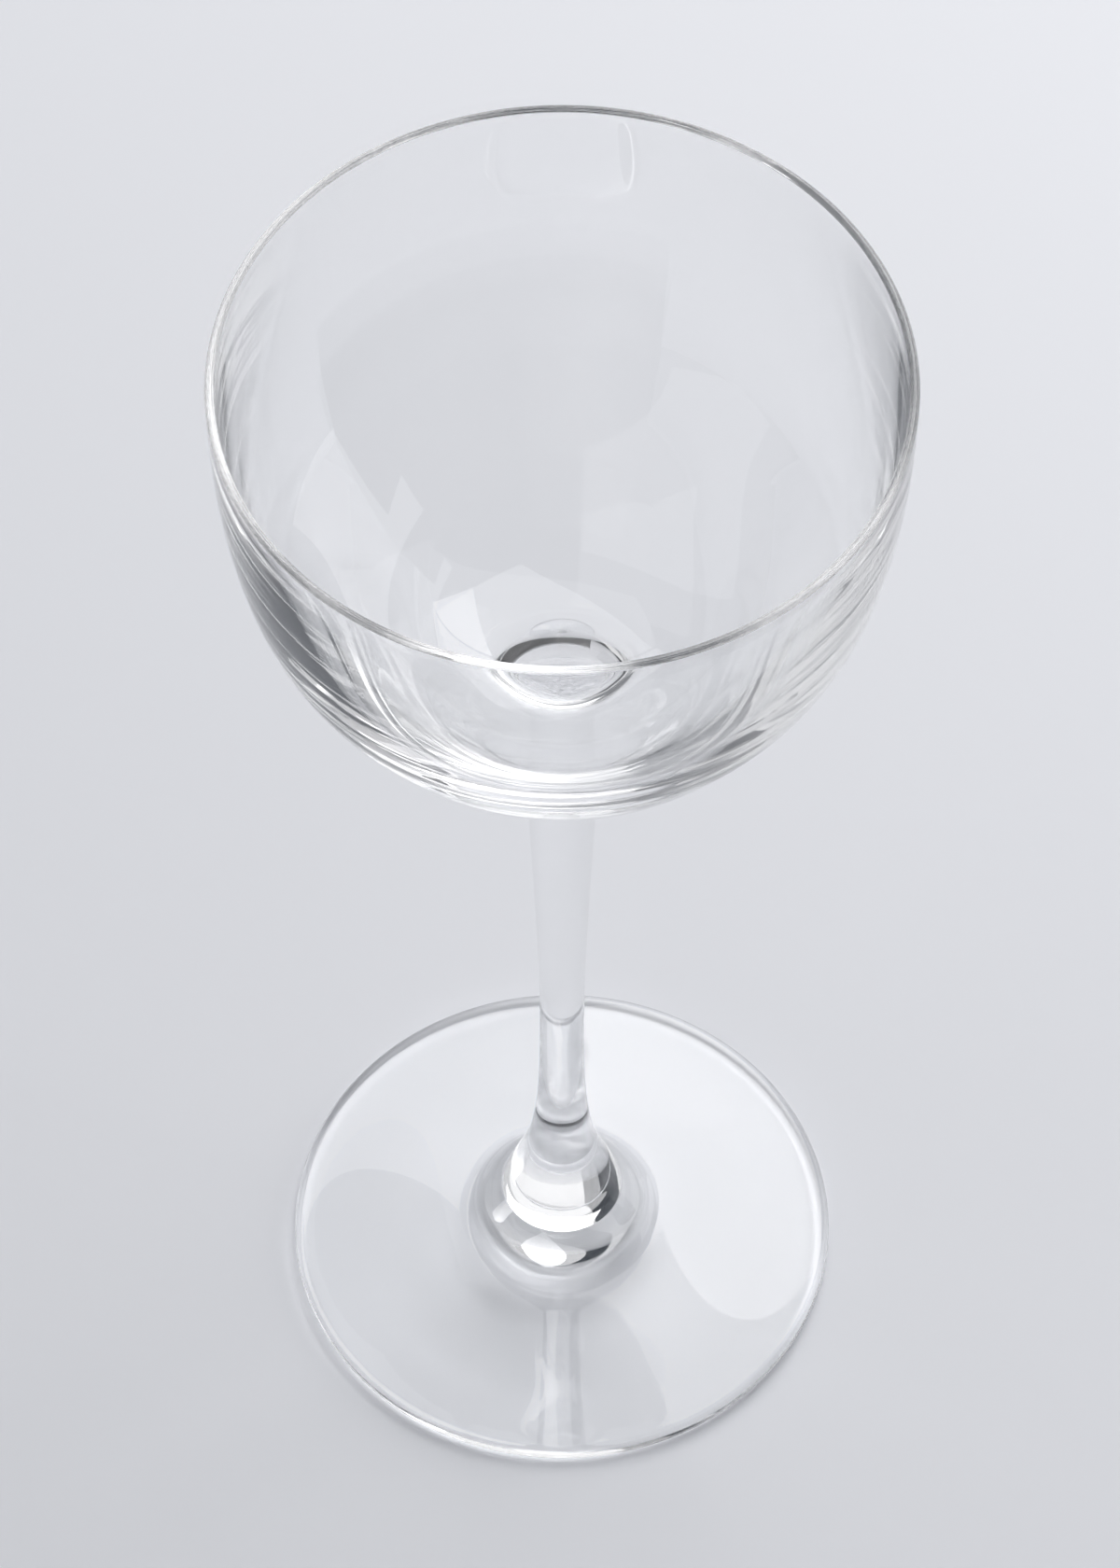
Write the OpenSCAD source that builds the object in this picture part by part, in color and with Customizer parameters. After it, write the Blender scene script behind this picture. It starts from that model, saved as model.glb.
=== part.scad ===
/* [Overall] */
// Height from the table to the top of the rim
total_h = 150; // [130:1:180]

/* [Bowl] */
// Outer diameter at the rim
rim_d = 64.4; // [58:0.2:72]
// Thickness of the glass at the rim
lip_t = 0.9; // [0.7:0.05:1.4]
// Depth from the rim to the shoulder, where the side turns in to the base
shoulder_drop = 29.5; // [27:0.5:34]
// Outer diameter at the shoulder
shoulder_d = 54.9; // [50:0.1:58]
// Lean of the outside at the shoulder, from straight down
shoulder_tilt = 28; // [24:1:33]
// Thickness of the wall at the shoulder, measured square to the outside
shoulder_t = 2; // [1.3:0.05:2.6]
// Lean of the inside at the shoulder, from straight down
shoulder_inside_tilt = 35; // [28:1:40]
// Depth of the inside, from the rim to its lowest point
inside_depth = 43; // [40:0.5:48]
// Thickness of the heavy base, from the inside's lowest point down to the heel
heel_t = 4.45; // [3:0.05:7]
// Diameter at the heel, where the bowl's underside runs out in to the flare
heel_d = 20.6; // [16:0.2:24]
// Lean of the outside at the heel, from straight down
heel_tilt = 73.3; // [66:0.1:80]

/* [Stem] */
// Depth of the flare under the bowl, from the heel to the neck
flare_h = 15.3; // [12:0.1:20]
// Diameter of the stem at the neck, just under the flare
neck_d = 7.2; // [6:0.1:9]
// Lean of the outside at the neck, from straight down
neck_tilt = 2; // [0:0.5:4]
// Height of the thinnest point above the table
waist_h = 44.3; // [36:0.1:56]
// Diameter at the thinnest point of the stem
waist_d = 4.6; // [4:0.1:6]
// Height from the foot's boss to the ankle, where the stem starts to spread
ankle_rise = 9.6; // [8:0.1:16]
// Diameter of the stem at the ankle
ankle_d = 6.9; // [6:0.1:8]
// Spread of the outside at the ankle, from straight down
ankle_spread = 9.1; // [8:0.1:20]
// Diameter of the stem where it is fused to the foot
boss_d = 13.1; // [11:0.1:16]
// Spread of the outside where the stem is fused to the foot, from straight down
boss_spread = 45.1; // [38:0.1:50]

/* [Foot] */
// Diameter of the foot
foot_d = 57.6; // [52:0.2:68]
// Height of the foot's top where the stem is fused to it
boss_h = 9.9; // [7.5:0.1:11]
// Diameter where the boss has run out in to the flat of the foot
skirt_d = 22.1; // [21:0.1:27]
// Height of the foot's top where the boss has run out
skirt_h = 4.5; // [4.2:0.1:6]
// Spread of the foot's top there, from straight down
skirt_spread = 84; // [81:0.5:88]
// Thickness of the foot at its rounded edge
edge_t = 2; // [1.5:0.1:2.6]
// Spread of the foot's top at its edge, from straight down
edge_spread = 85.5; // [83:0.5:89]
// Height that the underside is drawn up at its middle
hollow_h = 1.5; // [0.6:0.1:2.2]
// Width of the flat ring that the foot stands on
ring_w = 1; // [0.6:0.1:2]

/* [Hidden] */

// Number of straight steps that stand for one curved stretch of an outline
curve_steps = 14;
// Number of steps round the half circle of the rim and round the foot's edge
round_steps = 10;

// How far the two ends of each curved stretch hold their lean, as shares of its chord
bowl_shares = [[0.184, 0.332], [0.496, 0.282]];
inside_shares = [[0.138, 0.272], [0.435, 0.522]];
flare_shares = [0.227, 0.735];
stem_shares = [[0.28, 0.245], [0.483, 0.278], [0.144, 0.05]];
foot_shares = [[0.496, 0.418], [0.363, 0.303]];
underside_shares = [[0.298, 0.298]];
// How far down the flare the bowl ends and the stem begins
fuse_share = 0.4;

rim_r = rim_d / 2;
lip_r = lip_t / 2;
foot_r = foot_d / 2;
edge_r = edge_t / 2;
inside_z = total_h - inside_depth;
heel_z = inside_z - heel_t;

// Stations along the outside, each one [[radius, height], lean]
rim = [[rim_r, total_h - lip_r], 0];
shoulder = [[shoulder_d / 2, total_h - shoulder_drop], shoulder_tilt];
heel = [[heel_d / 2, heel_z], heel_tilt];
neck = [[neck_d / 2, heel_z - flare_h], neck_tilt];
waist = [[waist_d / 2, waist_h], 0];
ankle = [[ankle_d / 2, boss_h + ankle_rise], -ankle_spread];
boss = [[boss_d / 2, boss_h], -boss_spread];
skirt = [[skirt_d / 2, skirt_h], -skirt_spread];
edge = [[foot_r - edge_r, edge_t], -edge_spread];

$fn = 96;

// Direction of an outline that runs down and leans in towards the axis
function lean(tilt) = [-sin(tilt), -cos(tilt)];

// Point at one share of the way along a cubic curve with handles b and c
function cubic(a, b, c, d, way) =
    a * pow(1 - way, 3) + 3 * b * way * pow(1 - way, 2)
    + 3 * c * pow(way, 2) * (1 - way) + d * pow(way, 3);

// Points of the curve from station p to station q, between two shares of its way
function stretch(p, q, shares, from = 0, to = 1) =
    let (chord = norm(q[0] - p[0]))
    let (b = p[0] + shares[0] * chord * lean(p[1]))
    let (c = q[0] - shares[1] * chord * lean(q[1]))
    [for (i = [0 : curve_steps]) cubic(p[0], b, c, q[0], from + (to - from) * i / curve_steps)];

// A list without its last point, where the next list starts
function open_end(list) = [for (i = [0 : len(list) - 2]) list[i]];

// Points of a smooth outline through all its stations
function outline(stations, shares) = [
    for (i = [0 : len(stations) - 2])
        each open_end(stretch(stations[i], stations[i + 1], shares[i])),
    stations[len(stations) - 1][0]
];

// Points along an arc
function arc(centre, r, from, to) =
    [for (i = [0 : round_steps]) let (a = from + (to - from) * i / round_steps)
        centre + r * [cos(a), sin(a)]];

// The list in the other order
function turned(list) = [for (i = [len(list) - 1 : -1 : 0]) list[i]];

// The inside of the shoulder lies one wall thickness in, square to the outside
shoulder_inside = [
    shoulder[0] - shoulder_t * [cos(shoulder_tilt), -sin(shoulder_tilt)],
    shoulder_inside_tilt
];

// Outside of the bowl, from the rim down to where the stem is fused on
bowl_outside = concat(
    open_end(outline([rim, shoulder, heel], bowl_shares)),
    stretch(heel, neck, flare_shares, to = fuse_share)
);

// Inside of the bowl, from the rim down to the axis
bowl_inside = outline([
    [[rim_r - lip_t, total_h - lip_r], 0],
    shoulder_inside,
    [[0, inside_z], 90]
], inside_shares);

// Side of the stem, from the bowl down to the foot
stem_side = concat(
    open_end(stretch(heel, neck, flare_shares, from = fuse_share)),
    outline([neck, waist, ankle, boss], stem_shares)
);

// Height of the face that the bowl and the stem share
fuse_z = stem_side[0][1];

// Blown bowl: a thin wall that thickens down in to a heavy base and a drawn flare
module bowl() {
    color([0.86, 0.9, 0.92, 0.45])
        rotate_extrude()
            polygon(concat(
                bowl_outside,
                [[0, fuse_z]],
                turned(bowl_inside),
                turned(arc([rim_r - lip_r, total_h - lip_r], lip_r, 0, 180))
            ));
}

// Pulled stem: solid glass, thinnest at its waist, that spreads at both ends
module stem() {
    color([0.82, 0.87, 0.9, 0.45])
        rotate_extrude()
            polygon(concat(stem_side, [[0, boss_h], [0, fuse_z]]));
}

// Spun foot: a thin disc that rises to the stem and stands on a narrow ring
module foot() {
    color([0.84, 0.88, 0.91, 0.45])
        rotate_extrude()
            polygon(concat(
                outline([boss, skirt, edge], foot_shares),
                arc([foot_r - edge_r, edge_r], edge_r, 90, -90),
                outline([[[foot_r - edge_r - ring_w, 0], 90], [[0, hollow_h], 90]], underside_shares),
                [[0, boss_h]]
            ));
}

bowl();
stem();
foot();
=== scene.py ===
import math

import bpy
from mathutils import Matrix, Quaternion, Vector


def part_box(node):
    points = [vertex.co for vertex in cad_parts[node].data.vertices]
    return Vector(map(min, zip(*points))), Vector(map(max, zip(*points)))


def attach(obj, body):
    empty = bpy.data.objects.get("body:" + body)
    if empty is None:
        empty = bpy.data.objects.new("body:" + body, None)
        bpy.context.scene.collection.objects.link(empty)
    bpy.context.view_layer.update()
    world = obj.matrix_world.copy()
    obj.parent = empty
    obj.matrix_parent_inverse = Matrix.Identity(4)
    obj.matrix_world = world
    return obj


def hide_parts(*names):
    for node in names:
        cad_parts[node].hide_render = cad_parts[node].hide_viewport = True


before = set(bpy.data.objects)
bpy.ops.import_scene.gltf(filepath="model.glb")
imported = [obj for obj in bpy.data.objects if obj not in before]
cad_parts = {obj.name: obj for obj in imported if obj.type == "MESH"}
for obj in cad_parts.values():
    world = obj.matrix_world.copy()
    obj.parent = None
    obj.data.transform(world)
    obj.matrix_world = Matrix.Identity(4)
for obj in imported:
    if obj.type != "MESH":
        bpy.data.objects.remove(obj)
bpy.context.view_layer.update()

MM = 0.001

# Sizes that the frame gives
_, BOWL_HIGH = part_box("bowl")
STEM_LOW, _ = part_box("stem")
_, FOOT_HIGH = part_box("foot")
RIM_R = BOWL_HIGH.x
TOTAL_H = BOWL_HIGH.z
BOSS_H = STEM_LOW.z
FOOT_R = FOOT_HIGH.x

# Bowl
LIP_T = 0.9 * MM
SHOULDER_DROP = 29.5 * MM
SHOULDER_R = 27.45 * MM
SHOULDER_TILT = 28
SHOULDER_T = 2 * MM
SHOULDER_INSIDE_TILT = 35
INSIDE_DEPTH = 43 * MM
HEEL_T = 4.45 * MM
HEEL_R = 10.3 * MM
HEEL_TILT = 73.3

# Stem
FLARE_H = 15.3 * MM
NECK_R = 3.6 * MM
NECK_TILT = 2
WAIST_H = 44.3 * MM
WAIST_R = 2.3 * MM
ANKLE_RISE = 9.6 * MM
ANKLE_R = 3.45 * MM
ANKLE_SPREAD = 9.1
BOSS_R = 6.55 * MM
BOSS_SPREAD = 45.1

# Foot
SKIRT_R = 11.05 * MM
SKIRT_H = 4.5 * MM
SKIRT_SPREAD = 84
EDGE_T = 2 * MM
EDGE_SPREAD = 85.5
HOLLOW_H = 1.5 * MM
RING_W = 1 * MM

# How far the two ends of each curved stretch hold their lean, as shares of its chord
BOWL_SHARES = [(0.184, 0.332), (0.496, 0.282)]
INSIDE_SHARES = [(0.138, 0.272), (0.435, 0.522)]
FLARE_SHARES = (0.227, 0.735)
STEM_SHARES = [(0.28, 0.245), (0.483, 0.278), (0.144, 0.05)]
FOOT_SHARES = [(0.496, 0.418), (0.363, 0.303)]
UNDERSIDE_SHARES = (0.298, 0.298)
# How far down the flare the bowl ends and the stem begins
FUSE_SHARE = 0.4

# Heights and radii that follow
LIP_R = LIP_T / 2
EDGE_R = EDGE_T / 2
INSIDE_Z = TOTAL_H - INSIDE_DEPTH
HEEL_Z = INSIDE_Z - HEEL_T

# Stations along the outside, each one (radius, height, lean from straight down)
RIM = (RIM_R, TOTAL_H - LIP_R, 0)
SHOULDER = (SHOULDER_R, TOTAL_H - SHOULDER_DROP, SHOULDER_TILT)
HEEL = (HEEL_R, HEEL_Z, HEEL_TILT)
NECK = (NECK_R, HEEL_Z - FLARE_H, NECK_TILT)
WAIST = (WAIST_R, WAIST_H, 0)
ANKLE = (ANKLE_R, BOSS_H + ANKLE_RISE, -ANKLE_SPREAD)
BOSS = (BOSS_R, BOSS_H, -BOSS_SPREAD)
SKIRT = (SKIRT_R, SKIRT_H, -SKIRT_SPREAD)
EDGE = (FOOT_R - EDGE_R, EDGE_T, -EDGE_SPREAD)

# Fineness of the meshes
CURVE_STEPS = 40
ROUND_STEPS = 16
TURN_STEPS = 256
SCREEN_STEPS = 32
# A point nearer to the axis than this lies on it
ON_AXIS = 1e-9

# Clear glass. Its waves are given for each piece as their fineness and their height
GLASS_IOR = 1.52
GLASS_TINTS = [(0.992, 0.997, 1.0, 1), (1.0, 1.0, 1.0, 1)]
GLASS_WAVES = {"bowl": (26.0, 0.02 * MM), "stem": (40.0, 0.01 * MM), "foot": (22.0, 0.015 * MM)}
WAVE_DETAIL = 1.0
WAVE_ROUGHNESS = 0.4
# The polish is a noise, and where it passes the first value the glass starts to blur
POLISH_SCALE = 60.0
POLISH_DETAIL = 4.0
POLISH_RANGE = (0.5, 0.8)
ROUGHNESS_RANGE = (0.0, 0.012)

# Table, with the glass a hair above it
TABLE_SIZE = 8000 * MM
TABLE_GAP = 0.05 * MM
TABLE_COLOUR = (0.90, 0.911, 0.944)
TABLE_ROUGHNESS = 0.6
GRAIN_SHADE = 0.985
GRAIN_SCALE = 3.0
GRAIN_DETAIL = 3.0

# Dark screen in front, seen only in the glass. Its dark colour is painted shade that stands in for
# a dark room in the glass's reflections and refractions. It pales to the table's tone over the
# lowest share of its height
SCREEN_R = 130 * MM
SCREEN_H = 150 * MM
SCREEN_AZIMUTHS = (90, 215)
SCREEN_PAINTED_SHADE_COLOURS = [(0.6, 0.61, 0.63, 1), (0.04, 0.042, 0.046, 1)]
SCREEN_PALE_FOOT_SHARE = 0.15
SCREEN_ROUGHNESS = 0.9
MATT_SPECULAR = 0.2

# Room light, at the horizon and overhead, and the soft lights' colour and aim
ROOM_COLOURS = [(0.02, 0.023, 0.028, 1), (0.052, 0.06, 0.072, 1)]
LIGHT_COLOUR = (1.0, 0.995, 1.0)
AIM = Vector((0, 0, 50 * MM))

# The photograph's frame in pixels, and its camera
IMAGE_W = 1200
FOCAL_PX = 7320
SENSOR_W = 36
CLIP_START = 10 * MM
CAMERA_PITCH = 55.85
CAMERA_PLACE = (-0.2 * MM, -375 * MM, 638 * MM)

# How often light may bounce: clear glass needs many turns before its inner reflections settle
GLASS_BOUNCES = 128
TABLE_BOUNCES = 4


def lean(tilt):
    """Direction of an outline that runs down and leans in towards the axis."""
    a = math.radians(tilt)
    return Vector((-math.sin(a), -math.cos(a)))


def stretch(p, q, shares, start=0.0, end=1.0):
    """Points and outward normals of the cubic curve between two stations, or of a share of it."""
    a, d = Vector(p[:2]), Vector(q[:2])
    chord = (d - a).length
    b = a + shares[0] * chord * lean(p[2])
    c = d - shares[1] * chord * lean(q[2])
    made = []
    for i in range(CURVE_STEPS + 1):
        t = start + (end - start) * i / CURVE_STEPS
        s = 1 - t
        at = a * s**3 + 3 * b * t * s**2 + 3 * c * t**2 * s + d * t**3
        along = (b - a) * s**2 + 2 * (c - b) * s * t + (d - c) * t**2
        along.normalize()
        made.append((at, Vector((-along.y, along.x))))
    return made


def arc(centre, radius, start, end):
    """Points and outward normals along an arc, angles in degrees."""
    made = []
    for i in range(ROUND_STEPS + 1):
        a = math.radians(start + (end - start) * i / ROUND_STEPS)
        out = Vector((math.cos(a), math.sin(a)))
        made.append((Vector(centre) + radius * out, out))
    return made


def joined(*parts):
    """One list from several whose ends meet, with each shared point kept once."""
    made = list(parts[0])
    for part in parts[1:]:
        made += part[1:]
    return made


def flipped(part):
    """The same outline run the other way, with its normals on its other side."""
    return [(at, -out) for at, out in reversed(part)]


def bowl_outline():
    """From the lowest point of the inside, over the rim, down to where the stem is fused on."""
    tilt = math.radians(SHOULDER_TILT)
    shoulder_inside = (
        SHOULDER_R - SHOULDER_T * math.cos(tilt),
        TOTAL_H - SHOULDER_DROP + SHOULDER_T * math.sin(tilt),
        SHOULDER_INSIDE_TILT,
    )
    inside = joined(
        stretch((RIM_R - LIP_T, TOTAL_H - LIP_R, 0), shoulder_inside, INSIDE_SHARES[0]),
        stretch(shoulder_inside, (0, INSIDE_Z, 90), INSIDE_SHARES[1]),
    )
    return joined(
        flipped(inside),
        arc((RIM_R - LIP_R, TOTAL_H - LIP_R), LIP_R, 180, 0),
        stretch(RIM, SHOULDER, BOWL_SHARES[0]),
        stretch(SHOULDER, HEEL, BOWL_SHARES[1]),
        stretch(HEEL, NECK, FLARE_SHARES, end=FUSE_SHARE),
    )


def stem_outline():
    """From the face that is fused to the bowl down to the face that is fused to the foot."""
    return joined(
        stretch(HEEL, NECK, FLARE_SHARES, start=FUSE_SHARE),
        stretch(NECK, WAIST, STEM_SHARES[0]),
        stretch(WAIST, ANKLE, STEM_SHARES[1]),
        stretch(ANKLE, BOSS, STEM_SHARES[2]),
    )


def foot_outline():
    """From the boss out over the top, round the edge and in along the hollow underside."""
    ring_outside = (Vector((FOOT_R - EDGE_R, 0)), Vector((0, -1)))
    ring_inside = (FOOT_R - EDGE_R - RING_W, 0, 90)
    return joined(
        stretch(BOSS, SKIRT, FOOT_SHARES[0]),
        stretch(SKIRT, EDGE, FOOT_SHARES[1]),
        arc((FOOT_R - EDGE_R, EDGE_R), EDGE_R, 90, -90),
        [ring_outside] + stretch(ring_inside, (0, HOLLOW_H, 90), UNDERSIDE_SHARES),
    )


def new_object(name, verts, faces, *materials):
    """An object with its own mesh, in the scene."""
    mesh = bpy.data.meshes.new(name)
    mesh.from_pydata(verts, [], faces)
    for material in materials:
        mesh.materials.append(material)
    made = bpy.data.objects.new(name, mesh)
    bpy.context.scene.collection.objects.link(made)
    return made


def turned(outline):
    """Vertices and normals of an outline turned about the axis, and the vertices of each row."""
    verts, normals, rows = [], [], []
    for at, out in outline:
        if at.x < ON_AXIS:
            rows.append([len(verts)])
            verts.append((0, 0, at.y))
            normals.append((0, 0, math.copysign(1, out.y)))
            continue
        rows.append(range(len(verts), len(verts) + TURN_STEPS))
        for k in range(TURN_STEPS):
            turn = 2 * math.pi * k / TURN_STEPS
            verts.append((at.x * math.cos(turn), at.x * math.sin(turn), at.y))
            normals.append((out.x * math.cos(turn), out.x * math.sin(turn), out.y))
    return verts, normals, rows


def side_faces(rows):
    """Faces between each row and the next. A row of one vertex, on the axis, gives triangles."""
    faces = []
    for upper, lower in zip(rows, rows[1:]):
        for k in range(TURN_STEPS):
            a, b = upper[k % len(upper)], upper[(k + 1) % len(upper)]
            c, d = lower[(k + 1) % len(lower)], lower[k % len(lower)]
            faces.append(list(dict.fromkeys((a, d, c, b))))
    return faces


def lathe(name, outline, glass, seam):
    """A closed solid of revolution. An end of its outline off the axis is a flat fused face."""
    verts, normals, rows = turned(outline)
    faces = side_faces(rows)
    first_fused = len(faces)
    for row, facing in ((rows[0], 1), (rows[-1], -1)):
        if len(row) < TURN_STEPS:
            continue
        centre = len(verts)
        verts.append((0, 0, verts[row[0]][2]))
        normals.append((0, 0, facing))
        for k in range(TURN_STEPS):
            edge = [row[k], row[(k + 1) % TURN_STEPS]]
            faces.append([centre] + edge[::facing])
    piece = new_object(name, verts, faces, glass, seam)
    mesh = piece.data
    for face in mesh.polygons[first_fused:]:
        face.material_index = 1
    mesh.polygons.foreach_set("use_smooth", [True] * len(mesh.polygons))
    mesh.normals_split_custom_set_from_vertices(normals)
    mesh.update()
    return piece


def new_material(name):
    """A material with its node tree and its shader."""
    material = bpy.data.materials.new(name)
    material.use_nodes = True
    return material, material.node_tree, material.node_tree.nodes["Principled BSDF"]


def add_node(tree, kind, inputs=None):
    """A new shader node with some of its inputs set by name."""
    node = tree.nodes.new(kind)
    for name, value in (inputs or {}).items():
        node.inputs[name].default_value = value
    return node


def add_ramp(tree, factor, colours, end=1.0):
    """A blend from one colour to another, which a factor between 0 and the end picks from."""
    ramp = tree.nodes.new("ShaderNodeValToRGB")
    for element, colour in zip(ramp.color_ramp.elements, colours):
        element.color = colour
    ramp.color_ramp.elements[1].position = end
    tree.links.new(factor, ramp.inputs["Fac"])
    return ramp.outputs["Color"]


def height_share(tree):
    """The height as a share of the object's, or for the world the sine of the elevation."""
    place = add_node(tree, "ShaderNodeTexCoord")
    split = add_node(tree, "ShaderNodeSeparateXYZ")
    tree.links.new(place.outputs["Generated"], split.inputs["Vector"])
    return split.outputs["Z"]


def add_noise(tree, inputs):
    """A noise in the object's own coordinates."""
    place = add_node(tree, "ShaderNodeTexCoord")
    noise = add_node(tree, "ShaderNodeTexNoise", inputs)
    tree.links.new(place.outputs["Object"], noise.inputs["Vector"])
    return noise.outputs["Fac"]


def glass_material(name, waves, wave_height):
    """Clear polished glass: slightly wavy, with a faint uneven polish and tint."""
    material, tree, shader = new_material(name)
    link = tree.links.new
    shader.inputs["Transmission Weight"].default_value = 1
    shader.inputs["IOR"].default_value = GLASS_IOR
    wavy = add_noise(tree, {"Scale": waves, "Detail": WAVE_DETAIL, "Roughness": WAVE_ROUGHNESS})
    bump = add_node(tree, "ShaderNodeBump", {"Strength": 1.0, "Distance": wave_height})
    link(wavy, bump.inputs["Height"])
    link(bump.outputs["Normal"], shader.inputs["Normal"])
    polish = add_noise(tree, {"Scale": POLISH_SCALE, "Detail": POLISH_DETAIL})
    rough = add_node(tree, "ShaderNodeMapRange", {
        "From Min": POLISH_RANGE[0],
        "From Max": POLISH_RANGE[1],
        "To Min": ROUGHNESS_RANGE[0],
        "To Max": ROUGHNESS_RANGE[1],
    })
    link(polish, rough.inputs["Value"])
    link(rough.outputs["Result"], shader.inputs["Roughness"])
    link(add_ramp(tree, polish, GLASS_TINTS), shader.inputs["Base Color"])
    return material


def seam_material():
    """The face where two pieces are fused. No surface is left there, so light goes through."""
    material, tree, shader = new_material("fused_face")
    tree.nodes.remove(shader)
    clear = add_node(tree, "ShaderNodeBsdfTransparent")
    tree.links.new(clear.outputs["BSDF"], tree.nodes["Material Output"].inputs["Surface"])
    return material


def table_material():
    """A matt pale surface with a faint unevenness."""
    material, tree, shader = new_material("pale_table")
    shader.inputs["Roughness"].default_value = TABLE_ROUGHNESS
    shader.inputs["Specular IOR Level"].default_value = MATT_SPECULAR
    grain = add_noise(tree, {"Scale": GRAIN_SCALE, "Detail": GRAIN_DETAIL})
    colours = [(*(shade * c for c in TABLE_COLOUR), 1) for shade in (GRAIN_SHADE, 1)]
    tree.links.new(add_ramp(tree, grain, colours), shader.inputs["Base Color"])
    return material


def painted_shade_screen_material():
    """Painted shade for the screen: a dark colour that pales at its foot to the table's tone, so
    that no hard edge shows in the glass.
    """
    material, tree, shader = new_material("painted_shade_screen")
    shader.inputs["Roughness"].default_value = SCREEN_ROUGHNESS
    shader.inputs["Specular IOR Level"].default_value = MATT_SPECULAR
    colour = add_ramp(tree, height_share(tree), SCREEN_PAINTED_SHADE_COLOURS, SCREEN_PALE_FOOT_SHARE)
    tree.links.new(colour, shader.inputs["Base Color"])
    return material


def build_glass():
    """The bowl, the stem and the foot, in place of the plain CAD nodes."""
    outlines = {"bowl": bowl_outline(), "stem": stem_outline(), "foot": foot_outline()}
    seam = seam_material()
    for node, outline in outlines.items():
        glass = glass_material(node + "_glass", *GLASS_WAVES[node])
        piece = lathe("clear_" + node, outline, glass, seam)
        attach(piece, "root")
        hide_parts(node)


def card(name, width, height, place, aim, material):
    """A flat stage card that faces a point."""
    w, h = width / 2, height / 2
    corners = [(-w, -h, 0), (w, -h, 0), (w, h, 0), (-w, h, 0)]
    made = new_object(name, corners, [(0, 1, 2, 3)], material)
    made.location = place
    made.rotation_euler = (Vector(aim) - Vector(place)).to_track_quat("Z", "Y").to_euler()


def dark_screen(name, azimuths, radius, height, material):
    """A curved screen that stands on the table between two azimuths and shows only in the glass."""
    start, end = azimuths
    verts, faces = [], []
    for i in range(SCREEN_STEPS + 1):
        turn = math.radians(start + (end - start) * i / SCREEN_STEPS)
        x, y = radius * math.sin(turn), radius * math.cos(turn)
        verts += [(x, y, 0), (x, y, height)]
    for i in range(0, 2 * SCREEN_STEPS, 2):
        faces.append((i, i + 1, i + 3, i + 2))
    made = new_object(name, verts, faces, material)
    made.visible_camera = False
    made.visible_diffuse = False
    made.visible_shadow = False


def toward(azimuth, elevation, distance):
    """A place seen from the glass: azimuth 0 is behind it and 90 on its right."""
    az, el = math.radians(azimuth), math.radians(elevation)
    level = math.cos(el)
    return AIM + distance * Vector((math.sin(az) * level, math.cos(az) * level, math.sin(el)))


def softbox(name, azimuth, elevation, roll, distance, width, height, radiance):
    """A rectangular light aimed at the glass, with its right side raised by the roll.

    Angles are in degrees and sizes in metres, and a radiance of 1 shows as white.
    """
    lamp = bpy.data.lights.new(name, "AREA")
    lamp.shape = "RECTANGLE"
    lamp.size = width
    lamp.size_y = height
    lamp.color = LIGHT_COLOUR
    lamp.energy = radiance * math.pi * width * height
    made = bpy.data.objects.new(name, lamp)
    made.location = toward(azimuth, elevation, distance)
    level = (AIM - made.location).to_track_quat("-Z", "Y")
    made.rotation_euler = (level @ Quaternion((0, 0, -1), math.radians(roll))).to_euler()
    made.visible_camera = False
    bpy.context.scene.collection.objects.link(made)


def build_lights():
    """Four soft lights behind the glass, one on its right and a large one on its left."""
    softbox(
        "high_softbox", azimuth=9, elevation=54, roll=-50,
        distance=0.98, width=0.55, height=0.83, radiance=1.45,
    )
    softbox(
        "strip_softbox", azimuth=25, elevation=48, roll=-52,
        distance=0.89, width=0.27, height=0.66, radiance=2.1,
    )
    softbox(
        "wide_softbox", azimuth=30, elevation=29, roll=-16,
        distance=0.5, width=0.92, height=0.98, radiance=0.6,
    )
    softbox(
        "band_softbox", azimuth=10, elevation=19, roll=8,
        distance=0.5, width=0.85, height=0.36, radiance=0.36,
    )
    softbox(
        "right_softbox", azimuth=75, elevation=10, roll=15,
        distance=0.5, width=0.65, height=0.34, radiance=1.4,
    )
    softbox(
        "left_softbox", azimuth=-114, elevation=43, roll=38,
        distance=0.97, width=1.33, height=1.34, radiance=0.67,
    )


def build_room():
    """A dark room, a little lighter overhead than at the horizon."""
    world = bpy.data.worlds.new("room")
    bpy.context.scene.world = world
    world.use_nodes = True
    tree = world.node_tree
    colour = add_ramp(tree, height_share(tree), ROOM_COLOURS)
    tree.links.new(colour, tree.nodes["Background"].inputs["Color"])


def build_camera():
    """The camera at the photograph's viewing angle."""
    scene = bpy.context.scene
    data = bpy.data.cameras.new("camera")
    data.sensor_fit = "HORIZONTAL"
    data.sensor_width = SENSOR_W
    data.lens = FOCAL_PX / IMAGE_W * SENSOR_W
    data.clip_start = CLIP_START
    made = bpy.data.objects.new("camera", data)
    made.location = CAMERA_PLACE
    made.rotation_euler = (math.radians(90 - CAMERA_PITCH), 0, 0)
    scene.collection.objects.link(made)
    scene.camera = made


def set_light_paths():
    """Plain colours, and enough bounces for the glass."""
    scene = bpy.context.scene
    scene.view_settings.view_transform = "Standard"
    cycles = scene.cycles
    cycles.max_bounces = GLASS_BOUNCES
    cycles.transmission_bounces = GLASS_BOUNCES
    cycles.glossy_bounces = GLASS_BOUNCES
    cycles.transparent_max_bounces = GLASS_BOUNCES
    cycles.diffuse_bounces = TABLE_BOUNCES
    cycles.blur_glossy = 0


build_glass()
card("floor", TABLE_SIZE, TABLE_SIZE, (0, 0, -TABLE_GAP), (0, 0, 1), table_material())
build_lights()
# The screen's dark colour is painted shade, and it shows only in the glass
dark_screen("front_screen", SCREEN_AZIMUTHS, SCREEN_R, SCREEN_H, painted_shade_screen_material())
build_room()
build_camera()
set_light_paths()
